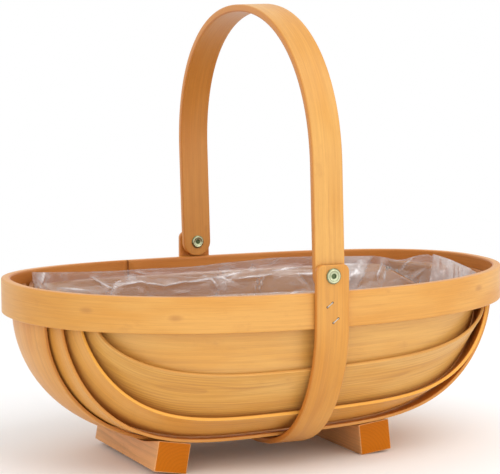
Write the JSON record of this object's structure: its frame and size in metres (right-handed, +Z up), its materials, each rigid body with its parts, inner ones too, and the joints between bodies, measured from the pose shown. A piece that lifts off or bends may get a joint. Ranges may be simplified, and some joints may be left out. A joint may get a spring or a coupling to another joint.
{
  "type": "trug garden basket",
  "caption": "Lapped wooden trug with a bent rim band, an outside cradle strap, two cross feet, a clear film liner and an arched handle that folds down either way.",
  "frame": {"origin": "on the ground under the middle of the basket", "axes": "+X along the basket, +Y across it to the side with the rim's lap joint, +Z up"},
  "size_m": [0.53, 0.347, 0.4553],
  "materials": {
    "rim_wood": "clear lacquered softwood, honey coloured",
    "board_wood": "clear lacquered thin sawn boards, honey coloured",
    "strap_wood": "clear lacquered bent strip",
    "handle_wood": "clear lacquered bent strip",
    "foot_wood": "clear lacquered bar, darker, with open end grain",
    "liner_film": "clear thin polythene film, crinkled",
    "pivot_steel": "yellow passivated plated steel",
    "nail_steel": "bright steel wire"
  },
  "bodies": {
    "basket": {"rim_band": "rim_wood", "cradle_strap": "strap_wood", "left_foot": "foot_wood", "right_foot": "foot_wood", "liner": "liner_film", "rim_nails": "nail_steel", "foot_nails": "nail_steel", "strap_nails": "nail_steel", "strap_staples": "nail_steel", "centre_board": "board_wood", "near_lower_board": "board_wood", "near_bilge_board": "board_wood", "near_side_board": "board_wood", "near_top_board": "board_wood", "far_lower_board": "board_wood", "far_bilge_board": "board_wood", "far_side_board": "board_wood", "far_top_board": "board_wood", "near_pivot_bolt": "pivot_steel", "near_pivot_nut": "pivot_steel", "far_pivot_bolt": "pivot_steel", "far_pivot_nut": "pivot_steel"},
    "handle": {"handle_arch": "handle_wood"}
  },
  "joints": [
    {"name": "handle_swing", "type": "hinge", "parent": "basket", "child": "handle", "pos_m": [0, 0, 0.1976], "axis": [0, 1, 0], "range_deg": [-86.5, 89.5]}
  ]
}
